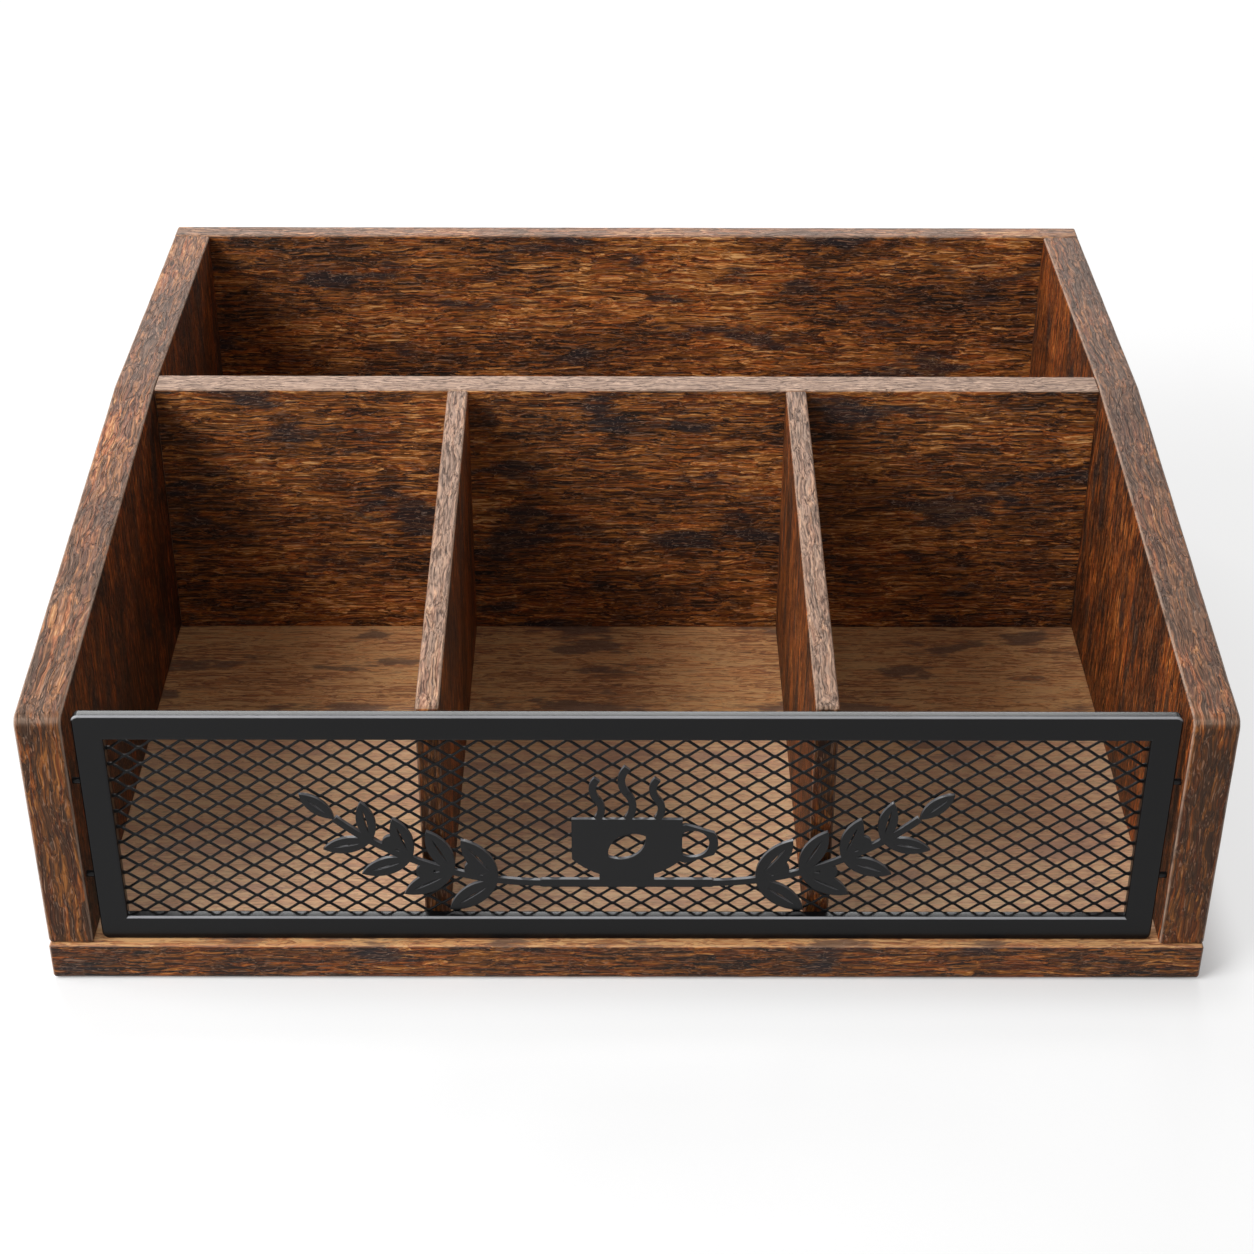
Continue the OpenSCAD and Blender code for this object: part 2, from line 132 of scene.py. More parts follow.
class Recipe:  # the nodes of one material, or of the world
    def __init__(self, owner):
        owner.use_nodes = True
        self.owner = owner
        self.tree = owner.node_tree
        self.tree.nodes.clear()

    def node(self, kind, settings=None, sockets=None, out=0):
        made = self.tree.nodes.new("ShaderNode" + kind)
        for key, value in (settings or {}).items():
            if key == "stops":
                stops = made.color_ramp.elements
                for place, colour in value[1:-1]:
                    stops.new(place).color = colour
                for stop, (place, colour) in ((stops[0], value[0]), (stops[-1], value[-1])):
                    stop.position, stop.color = place, colour
            else:
                setattr(made, key, value)
        for key, value in (sockets or {}).items():
            if isinstance(value, Flow):
                self.tree.links.new(value.socket, made.inputs[key])
            else:
                made.inputs[key].default_value = value
        return Flow(self, made.outputs[out] if len(made.outputs) else None)

    def tint(self, factor, under, over, blend="MIX"):  # colours
        settings = {"data_type": "RGBA", "blend_type": blend}
        return self.node("Mix", settings, {0: factor, 6: under, 7: over}, 2)

    def between(self, factor, under, over):  # vectors
        return self.node("Mix", {"data_type": "VECTOR"}, {0: factor, 4: under, 5: over}, 1)

    def vector(self, operation, first, second, third=(0, 0, 0)):
        return self.node("VectorMath", {"operation": operation}, {0: first, 1: second, 2: third})

    def noise(self, place, scale=1.0, detail=2.0, rough=0.5, out=0):
        sockets = {"Vector": place, "Scale": scale, "Detail": detail, "Roughness": rough}
        return self.node("TexNoise", None, sockets, out)

    def cells(self, place, scale):  # cells, each with a random colour, taken apart
        colours = self.node("TexVoronoi", None, {"Vector": place, "Scale": scale}, 1)
        return self.node("SeparateColor", None, {0: colours})

    def millimetres(self):  # the place on the piece
        return self.vector("MULTIPLY", self.node("TexCoord", None, None, 3), (1 / mm,) * 3)

    def seen(self):  # 1 on what the camera sees, straight or in a reflection, and 0 on what lights the piece
        ray = self.node("LightPath").socket.node.outputs
        kinds = [Flow(self, ray["Is " + kind + " Ray"]) for kind in ("Camera", "Glossy", "Transmission")]
        return (kinds[0] + kinds[1] + kinds[2]).above(0.5, 0.1)

    def finish(self, colour, rough, height, depth, strength, **plain):
        bump = self.node("Bump", None, {"Height": height, "Distance": depth * mm, "Strength": strength})
        sockets = {"Base Color": colour, "Roughness": rough, "Normal": bump}
        for key, value in plain.items():
            sockets[key.replace("_", " ")] = value
        surface = self.node("BsdfPrincipled", None, sockets)
        self.node("OutputMaterial", None, {"Surface": surface})
        return self.owner


def newRecipe(name):
    return Recipe(bpy.data.materials.new(name))


wood = {
    "fibreWide": 0.44, "fibreLong": 5.2,  # one stroke of the grain
    "wave": 1.5, "waveLong": 9.0,  # how far the strokes wander sideways, and over what length
    "lazy": (1.6, 0.55),  # the waves' own stretch along and across the grain, over that length
    "cloud": 30.0, "patch": 38.0,  # size of the light and dark areas, and of the charred patches
    "creaseSpace": (8.0, 1.3, 0.3), "scratchSpace": (4.0, 1.5, 0.45),  # length, width and share of the waves
    "shift": (137.0, 61.0, 23.0),  # how far each board's pattern lies from the next one's
    # how much each layer counts in the tone, and the sum that stands for the darkest tone
    "cells": 0.5, "fibres": 1.65, "fine": 0.6, "clouds": 1.05, "darkest": 1.48,
    "tones": ((0.0, shade(14, 7, 3)), (0.2, shade(44, 23, 8)), (0.42, shade(92, 52, 20)),
              (0.62, shade(142, 84, 34)), (0.8, shade(188, 118, 54)), (1.0, shade(236, 182, 118))),
    "ember": shade(190, 98, 34), "rich": shade(255, 200, 120), "calm": shade(104, 72, 51),
    # crease: dark lines in the grain, partly painted shade in the creases of the relief
    "char": shade(30, 26, 29), "crease": shade(34, 20, 12), "scratch": shade(186, 160, 142),
    # next line: pale threads that also paint light on the floor, worn arrises with a painted highlight, and
    # painted light on the floor behind the mesh
    "dry": shade(182, 139, 112), "worn": shade(208, 178, 156), "bleached": shade(194, 148, 122),
    # the greys of upward faces: partly a greyer finish, partly painted sheen
    "greyLow": shade(70, 46, 33), "greyHigh": shade(200, 167, 144),
    # the edge and the softness of each mask
    "sideFace": (0.6, 0.04), "topFace": (0.6, 0.15),
    "emberFrom": (0.66, 0.08), "charFrom": (0.7, 0.03), "threadFrom": (0.65, 0.025), "rubFrom": (0.36, 0.2),
    "creaseLine": (0.02, 0.02), "creaseBreak": (0.47, 0.05),
    "scratchLine": (0.012, 0.012), "scratchBreak": (0.5, 0.06),
    "emberShare": 0.6, "charShare": 0.86, "threadShare": 0.45, "calmShare": 0.32,
    # painted light: the floor is paler in front, between these places, and less lifted behind the cross
    # divider; metres
    "bleachEnd": (-0.017, 0.016), "bleachDrift": 0.05, "bleachStart": (-0.1375, 0.001),
    "behind": (0.021, 0.003), "behindLess": 0.3,
    # the outer faces of the side panels, told by how far out they look and stand; metres; then the painted
    # light that lifts them, for the weak lamp light on them
    "outer": (0.1, 0.02), "outerLift": 0.12,
    "relief": (0.34, 0.9), "rough": 0.66,  # relief: depth and strength
}


def makeWood(name, seed, onX, offX, tone=0.0, up=0.0, onTop=0.0, narrow=0.0, front=0.0, pale=0.0, curl=0.3,
             glossy=0.25, coarse=1.0, rub=0.5, rich=0.0):
    # onX, offX: the axes that the grain follows on faces that look along X, and on the others
    # tone, up, narrow: lighter all over, where a face looks up, which on the floor is painted light, and
    # where it looks off X
    # onTop, pale: greyer and paler where a face looks up, partly a greyer finish and partly painted sheen,
    # and on the floor painted light; front: painted light, a paler floor behind the mesh
    # coarse: size of the grain off X; curl, rub: strength of the dark creases, partly painted shade, and of
    # the worn edges with their painted highlight
    # glossy: strength of the reflections; rich: warmer, darker colour on the inner faces
    one = newRecipe(name)
    spot = one.node("TexCoord", None, None, 3)
    facing = one.node("SeparateXYZ", None, {0: one.node("TexCoord", None, None, 1)})
    sideways = abs(facing).above(*wood["sideFace"])
    upward = Flow(one, facing.socket.node.outputs[2]).above(*wood["topFace"])
    across = one.node("SeparateXYZ", None, {0: spot})
    depth = Flow(one, across.socket.node.outputs[1])
    outer = (facing * across).above(*wood["outer"])
    place = one.vector("MULTIPLY_ADD", spot, (1 / mm,) * 3, [seed * shift for shift in wood["shift"]])

    def stretch(long, wide):  # the space drawn out along the grain
        sizes = [tuple(1 / ((long if axis in grain else wide) * size) for axis in "xyz")
                 for grain, size in ((offX, coarse), (onX, 1.0))]
        return one.vector("MULTIPLY", place, one.between(sideways, *sizes))

    # waves: the strokes wander sideways, and the clouds lie along them
    lazy = stretch(*(wood["waveLong"] * share for share in wood["lazy"]))
    sway = one.vector("SUBTRACT", one.noise(lazy, 1, 2, 0.55, 1), (0.5, 0.5, 0.5))
    sway = one.vector("MULTIPLY", sway, (wood["wave"] * 2 / wood["fibreWide"],) * 3)
    grain = one.vector("ADD", stretch(wood["fibreLong"], wood["fibreWide"]), sway)

    def lineSpace(long, wide, share):  # the space of the creases and of the scratches, which sway less
        return one.vector("ADD", stretch(long, wide), one.vector("MULTIPLY", sway, (share,) * 3))

    # strokes: long thin cells, each with its own tone, and softer fibres over them
    cells = one.cells(grain, 0.6)
    cellHue = Flow(one, cells.socket.node.outputs[1])
    fibres = one.noise(grain, 1.0, 3.0, 0.62)
    fine = one.noise(grain, 2.4, 2.0, 0.6)
    clouds = one.noise(lazy, wood["waveLong"] / wood["cloud"], 3, 0.6)
    level = cells * wood["cells"] + fibres * wood["fibres"] + fine * wood["fine"] + clouds * wood["clouds"]
    level = level - (wood["darkest"] - tone)
    # painted light: the floor's upward faces are lighter, less so behind the cross divider
    if up:  # less of it on the floor behind the cross divider
        level = level + upward * (up - depth.above(*wood["behind"]) * wood["behindLess"])
    # painted light: the outer faces of the side panels are lighter, making up for the weak lamp light on
    # them
    if narrow:  # the outer faces are lighter too
        level = level + (1 - sideways) * narrow + outer * wood["outerLift"]
    colour = one.node("ValToRGB", {"stops": wood["tones"]}, {0: level})
    if narrow:  # calmer grain on the narrow faces
        colour = one.tint((1 - sideways) * wood["calmShare"], colour, wood["calm"])
    glow = one.tint(wood["emberShare"], colour, wood["ember"], "SOFT_LIGHT")
    colour = one.tint(cellHue.above(*wood["emberFrom"]) * clouds, colour, glow)
    # charred patches, and pale dry threads
    dark = one.noise(lazy, wood["waveLong"] / wood["patch"] * 1.7, 4, 0.6)
    dark = (dark + fibres * 0.2).above(*wood["charFrom"])
    if narrow:
        dark = dark * (sideways * 0.7 + 0.3)
    colour = one.tint(dark * wood["charShare"], colour, wood["char"])
    threads = one.noise(grain, 1.35, 1.0, 0.5)
    colour = one.tint(threads.above(*wood["threadFrom"]) * wood["threadShare"], colour, wood["dry"])
    # creases and scratches: thin broken lines that curl along the grain
    ridge = abs(one.noise(lineSpace(*wood["creaseSpace"]), 1.0, 1.5, 0.5) - 0.5)
    crease = (1 - ridge.above(*wood["creaseLine"])) * threads.above(*wood["creaseBreak"])
    hair = abs(one.noise(lineSpace(*wood["scratchSpace"]), 1.0, 1.0, 0.5) - 0.47)
    scratch = (1 - hair.above(*wood["scratchLine"])) * fine.above(*wood["scratchBreak"])
    colour = one.tint(scratch * (dark * 0.25 + 0.2), colour, wood["scratch"])
    # painted light: the floor's upward faces turn paler
    if pale:
        colour = one.tint(upward * pale, colour, wood["dry"])
    # upward faces greyer and paler: partly a greyer finish, partly painted sheen
    if onTop:
        grey = one.tint(fibres * 3.6 + fine * 1.4 - 1.95, wood["greyLow"], wood["greyHigh"])
        colour = one.tint(upward * onTop, colour, grey)
    if rich:
        colour = one.tint((sideways - outer) * rich, colour, wood["rich"], "MULTIPLY")
    # painted light: the floor behind the mesh is paler, with a wavering edge
    if front:
        paintedFrontLight = 1 - (depth + clouds * wood["bleachDrift"]).above(*wood["bleachEnd"])
        paintedFrontLight = paintedFrontLight * depth.above(*wood["bleachStart"])
        colour = one.tint(paintedFrontLight * upward * front, colour, wood["bleached"], "SCREEN")
    # partly painted shade: the creases of the relief darkened, as well as dark lines in the grain
    colour = one.tint(crease * curl, colour, wood["crease"])
    # edges: worn, and given a painted highlight, where the board's own weights say that an arris is, in
    # patches
    arris = one.node("Attribute", {"attribute_name": "arris"}, None, 2)
    edge = arris * arris
    rubbedAndHighlit = edge * edge * one.noise(place, 0.13, 3.0, 0.6).above(*wood["rubFrom"])
    colour = one.tint(rubbedAndHighlit * rub, colour, wood["worn"])
    rough = wood["rough"] - fibres * 0.22 + dark * 0.05 - rubbedAndHighlit * 0.15
    height = fibres * 0.6 + cells * 0.2 + fine * 0.25 - crease * curl
    return one.finish(colour, rough, height, *wood["relief"], Specular_IOR_Level=glossy)


board = {"edgeSteps": 5, "rim": 0.7, "blunt": 75, "cornerWeight": 0.75, "step": 6.0,
         "wear": 0.16, "dents": 0.11, "nicks": 0.4, "nickShare": 0.5, "dentLevel": 0.35}
# blunt: half the angle from which a corner counts as no arris; dents, nicks: how many to a millimetre


def roundedOutline(corners):
    # a closed outline with rounded corners: place, inward normal and how near it is to an arris
    points = []
    arcs = []
    for index, (u, v, radius) in enumerate(corners):
        here = Vector((u, v))
        before = (Vector(corners[index - 1][:2]) - here).normalized()
        after = (Vector(corners[(index + 1) % len(corners)][:2]) - here).normalized()
        half = before.angle(after) / 2
        centre = here + (before + after).normalized() * radius / math.sin(half)
        start = (here + before * radius / math.tan(half) - centre).normalized()
        end = (here + after * radius / math.tan(half) - centre).normalized()
        steps = board["edgeSteps"]
        arc = []
        for k in range(steps + 1):
            way = start.slerp(end, k / steps)
            weight = math.sin(math.pi * k / steps) if half < degrees(board["blunt"]) else 0.0
            arc.append((centre + way * radius, -way, weight))
        arcs.append(arc)
    for index, arc in enumerate(arcs):
        points += arc
        start, end = arc[-1], arcs[(index + 1) % len(arcs)][0]
        run = end[0] - start[0]
        inward = Vector((start[1].x, start[1].y))
        margin = min(board["rim"], run.length / 4)
        count = max(1, round((run.length - 2 * margin) / board["step"]))
        for k in range(count + 1):
            way = (margin + (run.length - 2 * margin) * k / count) / run.length
            points.append((start[0] + run * way, inward, 0.0))
    return points


def makeBoard(name, node, material, corners, low, high, radius, sunk=()):
    # the outline lies in the plane of depth and height; sunk: the screws whose heads sit in the board
    outline = roundedOutline(corners)
    left, right = low.x, high.x
    turns = board["edgeSteps"]
    stations = []
    for k in range(turns + 1):
        angle = math.pi / 2 * k / turns
        along, inset = radius * (1 - math.cos(angle)), radius * (1 - math.sin(angle))
        stations.append((along, inset, math.sin(2 * angle)))
    margin = radius + board["rim"]
    count = max(1, round((right - left - 2 * margin) / board["step"]))
    flat = [(margin + (right - left - 2 * margin) * k / count, 0.0, 0.0) for k in range(count + 1)]
    rings = [(left + s, inset, edge) for s, inset, edge in stations + flat]
    rings += [(right - s, inset, edge) for s, inset, edge in reversed(stations)]
    shell = bmesh.new()
    mark = shell.verts.layers.float.new("arris")
    loops = []
    for x, inset, edge in rings:
        loop = []
        for place, inward, corner in outline:
            where = place + inward * inset
            vertex = shell.verts.new((x, where.x, where.y))
            vertex[mark] = max(corner * board["cornerWeight"], edge) if inset < radius else 0.0
            loop.append(vertex)
        loops.append(loop)
    around = len(outline)
    for one, two in zip(loops, loops[1:]):
        for k in range(around):
            shell.faces.new((one[k], one[(k + 1) % around], two[(k + 1) % around], two[k]))
    shell.faces.new(reversed(loops[0]))
    shell.faces.new(loops[-1])
    bmesh.ops.remove_doubles(shell, verts=shell.verts, dist=0.002)
    bmesh.ops.recalc_face_normals(shell, faces=shell.faces)
    shell.normal_update()
    for vertex in shell.verts:  # small dents along the edges
        dents, nicks = (noise.noise(vertex.co * board[size]) for size in ("dents", "nicks"))
        dent = max(0.0, dents + board["dentLevel"] + board["nickShare"] * nicks)
        place = vertex.co - vertex.normal * (vertex[mark] * board["wear"] * dent)
        vertex.co = Vector(map(max, low, map(min, high, place)))
    heads = [head for screws in sunk for head in screwHeads(screws)]
    return addPiece(name, shell, material, node, heads)


def screwHeads(node):
    # the lowest and highest corner of each screw in the node, in millimetres
    shell = bmesh.new()
    shell.from_mesh(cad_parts[node].data)
    bmesh.ops.remove_doubles(shell, verts=shell.verts, dist=1e-6)
    found = []
    seen = set()
    for start in shell.verts:
        if start in seen:
            continue
        seen.add(start)
        reach, places = [start], []
        while reach:
            vertex = reach.pop()
            places.append(vertex.co / mm)
            for edge in vertex.link_edges:
                other = edge.other_vert(vertex)
                if other not in seen:
                    seen.add(other)
                    reach.append(other)
        found.append((Vector(map(min, *places)), Vector(map(max, *places))))
    shell.free()
    return found


sink = {"clear": 0.12, "chamfer": 0.25, "straight": 0.45, "depth": 2.6, "taper": 0.5, "sides": 40}
surface = {"sharp": 38, "weight": 100}


def cutSinks(piece, heads):
    # countersinks in the face that the heads lie under: the underside, or the rear face
    rear = cadBox[1][1] / mm
    shell = bmesh.new()
    for low, high in heads:
        upright = high.z - low.z > high.y - low.y
        middle = (low + high) / 2
        radius = (high.x - low.x) / 2 + sink["clear"]
        out = Vector((0, 0, -1)) if upright else Vector((0, 1, 0))
        start = Vector((middle.x, middle.y, 0.0)) if upright else Vector((middle.x, rear, middle.z))
        across = out.orthogonal().normalized()
        other = out.cross(across)
        loops = []
        for reach, inward in ((radius + 2 * sink["chamfer"], -sink["chamfer"]), (radius, sink["chamfer"]),
                              (radius, sink["straight"]), (radius * sink["taper"], sink["depth"])):
            loop = []
            for k in range(sink["sides"]):
                angle = 2 * math.pi * k / sink["sides"]
                place = start - out * inward + (across * math.cos(angle) + other * math.sin(angle)) * reach
                loop.append(shell.verts.new(place * mm))
            loops.append(loop)
        for one, two in zip(loops, loops[1:]):
            for k in range(sink["sides"]):
                after = (k + 1) % sink["sides"]
                shell.faces.new((one[k], one[after], two[after], two[k]))
        shell.faces.new(reversed(loops[0]))
        shell.faces.new(loops[-1])
    bmesh.ops.recalc_face_normals(shell, faces=shell.faces)
    data = bpy.data.meshes.new("cutter")
    shell.to_mesh(data)
    shell.free()
    cutter = bpy.data.objects.new("cutter", data)
    bpy.context.scene.collection.objects.link(cutter)
    cut = piece.modifiers.new("sinks", "BOOLEAN")
    cut.operation = "DIFFERENCE"
    cut.solver = "EXACT"
    cut.object = cutter
    whole = piece.data
    piece.data = bpy.data.meshes.new_from_object(piece.evaluated_get(bpy.context.evaluated_depsgraph_get()))
    piece.data.name = whole.name
    piece.modifiers.remove(cut)
    bpy.data.objects.remove(cutter)
    bpy.data.meshes.remove(data)
    bpy.data.meshes.remove(whole)


def addPiece(name, shell, material, node, heads=()):
    bmesh.ops.scale(shell, vec=(mm, mm, mm), verts=shell.verts)
    data = bpy.data.meshes.new(name)
    shell.to_mesh(data)
    shell.free()
    data.materials.append(material)
    piece = bpy.data.objects.new(name, data)
    bpy.context.scene.collection.objects.link(piece)
    if heads:
        cutSinks(piece, heads)
    for face in piece.data.polygons:
        face.use_smooth = True
    piece.data.set_sharp_from_angle(angle=degrees(surface["sharp"]))
    soft = piece.modifiers.new("normals", "WEIGHTED_NORMAL")
    soft.keep_sharp = True
    soft.weight = surface["weight"]
    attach(piece, "root")
    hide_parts(node)
    return piece


def corner(node):
    low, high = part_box(node)
    return low / mm, high / mm


def boxCorners(low, high, radii):
    places = ((low.y, low.z), (low.y, high.z), (high.y, high.z), (high.y, low.z))
    return [(*place, radius) for place, radius in zip(places, radii)]


plainBoards = {
    "baseBoard": {"node": "base_board", "grain": ("y", "x"), "rounds": (1.6, 0.9, 0.9, 1.6), "edge": 0.9,
                  # up, pale and front lighten the floor: painted light
                  "wood": "base wood", "look": {"tone": -0.02, "up": 0.52, "front": 1.0, "pale": 0.32},
                  "sunk": ("side_base_screws", "cross_base_screws", "divider_base_screws",
                           "back_base_screws")},
    "backPanel": {"node": "back_panel", "grain": ("z", "x"), "rounds": (0.8, 0.9, 0.9, 0.8), "edge": 0.8,
                  "wood": "back wood", "look": {"tone": 0.05, "onTop": 0.45}, "sunk": ("back_side_screws",)},
    "crossDivider": {"node": "cross_divider", "grain": ("z", "x"), "rounds": (0.3, 0.8, 0.8, 0.3),
                     "edge": 0.3, "wood": "cross divider wood",
                     "look": {"tone": 0.06, "onTop": 0.95, "rub": 0.9}, "sunk": ()},
}
for seed, (name, one) in enumerate(plainBoards.items(), 1):
    low, high = corner(one["node"])
    finish = makeWood(one["wood"], seed, *one["grain"], **one["look"])
    outline = boxCorners(low, high, one["rounds"])
    makeBoard(name, one["node"], finish, outline, low, high, one["edge"], one["sunk"])

sidePanel = {"frontTop": 88.0, "knee": (18.0, 101.0), "rearTop": 98.0,
             "round": 1.0, "kneeRound": 1.2, "frontRound": 3.4,
             # painted shade: the left panel's faces that look along X are darker than the right's, as its
             # inner face looks away from the key lamp; the larger narrow lift keeps both panels' fronts and
             # tops alike
             "left": {"tone": -0.17, "narrow": 0.12}, "right": {"tone": -0.08, "narrow": 0.03},
             "look": {"onTop": 0.12, "curl": 0.6, "glossy": 0.2, "coarse": 1.4, "rub": 0.7, "rich": 0.6}}
for seed, place in enumerate(("left", "right"), 4):
    name, node = place + "SidePanel", place + "_side_panel"
    low, high = corner(node)
    finish = makeWood(name + " wood", seed, "z", "yz", **sidePanel[place], **sidePanel["look"])
    outline = [(low.y, low.z, sidePanel["round"]), (low.y, sidePanel["frontTop"], sidePanel["frontRound"]),
               (*sidePanel["knee"], sidePanel["kneeRound"]),
               (high.y, sidePanel["rearTop"], sidePanel["round"]), (high.y, low.z, sidePanel["round"])]
    makeBoard(name, node, finish, outline, low, high, sidePanel["round"])

divider = {"frontTop": 87.0, "round": 0.7, "frontRound": 0.9,
           "look": {"tone": -0.08, "onTop": 0.62, "narrow": 0.06, "curl": 0.5, "glossy": 0.2, "coarse": 1.3,
                    "rich": 0.5}}
for seed, place in enumerate(("left", "right"), 6):
    name, node = place + "Divider", place + "_divider"
    low, high = corner(node)
    finish = makeWood(name + " wood", seed, "z", "yz", **divider["look"])
    outline = [(low.y, low.z, divider["round"]), (low.y, divider["frontTop"], divider["frontRound"]),
               (high.y, high.z, divider["round"]), (high.y, low.z, divider["round"])]
    makeBoard(name, node, finish, outline, low, high, divider["round"])
print("boards are made")


# edge: the pale colour of arrises that look up, a painted highlight
coat = {"black": shade(9, 9, 10), "pale": shade(15, 15, 17), "edge": shade(190, 190, 194),
        # how fine the coat's skin is, its roughness and the strength of its reflections
        "frame": (1.0, 0.24, 0.2), "mesh": (1.6, 0.34, 0.16), "ornament": (1.0, 0.36, 0.25)}


def makeCoat(kind):
    grain, rough, glossy = coat[kind]
    one = newRecipe(kind + " coat")
    place = one.millimetres()
    peel = one.noise(place, 1.6 * grain, 2.0, 0.5)
    drift = one.noise(place, 0.05, 2.0, 0.5)
    facing = one.node("SeparateXYZ", None, {0: one.node("TexCoord", None, None, 1)}, 2)
    # painted highlight: the arrises that look up turn pale
    rub = one.node("Attribute", {"attribute_name": "arris"}, None, 2) * facing.above(0.3, 0.2)
    colour = one.tint(drift * 0.6, coat["black"], coat["pale"])
    colour = one.tint(rub * (drift * 0.3 + 0.45), colour, coat["edge"])
    return one.finish(colour, rough + peel * 0.06 - drift * 0.04, peel, 0.01, 0.4, Specular_IOR_Level=glossy)


frameCoat = makeCoat("frame")
bars = {"edge": 0.7, "corner": 2.0, "width": 7.8, "arcSteps": 4, "bevelSteps": 4, "rim": 0.05, "slack": 0.01}


def makeBar(name, node, outline):
    # outline: the bar seen from the front, in x and z, with its mitred ends
    low, high = corner(node)
    shell = bmesh.new()
    front = [shell.verts.new((x, low.y, z)) for x, z in outline]
    face = shell.faces.new(front)
    made = bmesh.ops.extrude_face_region(shell, geom=[face])
    back = [v for v in made["geom"] if isinstance(v, bmesh.types.BMVert)]
    bmesh.ops.translate(shell, verts=back, vec=(0, high.y - low.y, 0))
    bmesh.ops.recalc_face_normals(shell, faces=shell.faces)

    def onMitre(edge):
        run = edge.verts[1].co - edge.verts[0].co
        return abs(abs(run.x) - abs(run.z)) < bars["slack"] * run.length and run.length > bars["width"]

    ends = [face for face in shell.faces if len(face.edges) == 4 and any(map(onMitre, face.edges))]
    ring = {edge for face in ends for edge in face.edges}
    flat = [edge for edge in shell.edges if abs(edge.verts[0].co.y - edge.verts[1].co.y) < bars["slack"]]
    long = [edge for edge in flat if edge not in ring]
    bmesh.ops.bevel(shell, geom=long, offset=bars["edge"], segments=bars["bevelSteps"], profile=0.5,
                    affect="EDGES", clamp_overlap=True)
    # the arris weight set here carries the coat's painted highlight
    mark = shell.verts.layers.float.new("arris")
    for vertex in shell.verts:  # the middle of the front edges
        if bars["rim"] < vertex.co.y - low.y < bars["edge"] - bars["rim"]:
            vertex[mark] = 1.0
    return addPiece(name, shell, frameCoat, node)


def frameOutlines():
    low, high = corner("frame_top_rail")
    bottom = corner("frame_bottom_rail")[0]
    left, right, top, foot = low.x, high.x, high.z, bottom.z
    width, radius = bars["width"], bars["corner"]

    def arc(x, z, way, part):  # half of a rounded corner, from the mitre to the straight
        centre = Vector((x - way[0] * radius, z - way[1] * radius))
        points = []
        for k in range(bars["arcSteps"] + 1):
            angle = degrees(45 + 45 * k / bars["arcSteps"] * part)
            place = (way[0] * radius * math.cos(angle), way[1] * radius * math.sin(angle))
            points.append((centre.x + place[0], centre.y + place[1]))
        return points

    def inner(x, z, way):
        return (x - way[0] * width, z - way[1] * width)

    corners = {"topLeft": (left, top, (-1, 1)), "topRight": (right, top, (1, 1)),
               "footLeft": (left, foot, (-1, -1)), "footRight": (right, foot, (1, -1))}

    def bar(first, second, part):
        one, two = corners[first], corners[second]
        return [inner(*one)] + arc(*one, part) + list(reversed(arc(*two, part))) + [inner(*two)]

    return {"frame_top_rail": bar("topLeft", "topRight", 1),
            "frame_bottom_rail": bar("footLeft", "footRight", 1),
            "frame_left_stile": bar("topLeft", "footLeft", -1),
            "frame_right_stile": bar("topRight", "footRight", -1)}


for node, outline in frameOutlines().items():
    words = node.split("_")
    makeBar(words[0] + "".join(word.capitalize() for word in words[1:]), node, outline)
print("frame is made")

mesh = {"pitchX": 7.94, "pitchZ": 5.3, "strand": 0.76, "thick": 0.64, "sides": 8, "full": 1.85,
        "overlap": 0.45, "bond": 0.9, "tilt": 18}  # full: the section's width over its radius
meshCoat = makeCoat("mesh")


def makeMesh():
    low, high = corner("mesh_panel")
    middle = (low + high) / 2
    columns = round((high.x - low.x) / mesh["pitchX"])
    pitch = (high.x - low.x) / columns
    rows = round((high.z - low.z) / (mesh["pitchZ"] / 2))
    rise = (high.z - low.z) / rows
    swing = (rise - mesh["strand"] * mesh["overlap"]) / 2
    shell = bmesh.new()
    section = []
    sides = mesh["sides"]
    for k in range(sides):
        angle = degrees(360 / sides * (k + 0.5))
        section.append((math.cos(angle), math.sin(angle)))
    for row in range(rows):
        centreZ = low.z + rise * (row + 0.5)
        phase = 1 if row % 2 else -1
        path = []
        for column in range(columns * 2 + 1):
            x = low.x + pitch * column / 2
            up = phase * (1 if column % 2 else -1)
            half = mesh["bond"] / 2
            for offset in (-half, half):
                if low.x <= x + offset <= high.x:
                    path.append((x + offset, centreZ + up * swing, 0.0))
            if column < columns * 2:
                path.append((x + pitch / 4, centreZ, -up * mesh["tilt"]))
        loops = []
        for k, (x, z, tilt) in enumerate(path):
            before, after = path[max(0, k - 1)], path[min(len(path) - 1, k + 1)]
            run = Vector((after[0] - before[0], 0, after[1] - before[1])).normalized()
            across = Vector((-run.z, 0, run.x))
            out = Vector((0, 1, 0))
            turn = Matrix.Rotation(degrees(tilt), 3, run)
            across, out = turn @ across, turn @ out
            loop = []
            for u, w in section:
                aside = across * (u * mesh["strand"] / mesh["full"])
                forward = out * (w * mesh["thick"] / mesh["full"])
                loop.append(shell.verts.new(Vector((x, middle.y, z)) + aside + forward))
            loops.append(loop)
        for one, two in zip(loops, loops[1:]):
            for k in range(sides):
                shell.faces.new((one[k], one[(k + 1) % sides], two[(k + 1) % sides], two[k]))
        shell.faces.new(reversed(loops[0]))
        shell.faces.new(loops[-1])
    bmesh.ops.recalc_face_normals(shell, faces=shell.faces)
    return addPiece("expandedMesh", shell, meshCoat, "mesh_panel")


makeMesh()
print("mesh is made")

ornament = {"chamfer": 0.16, "slope": 0.7, "rub": 0.4, "slack": 0.01}


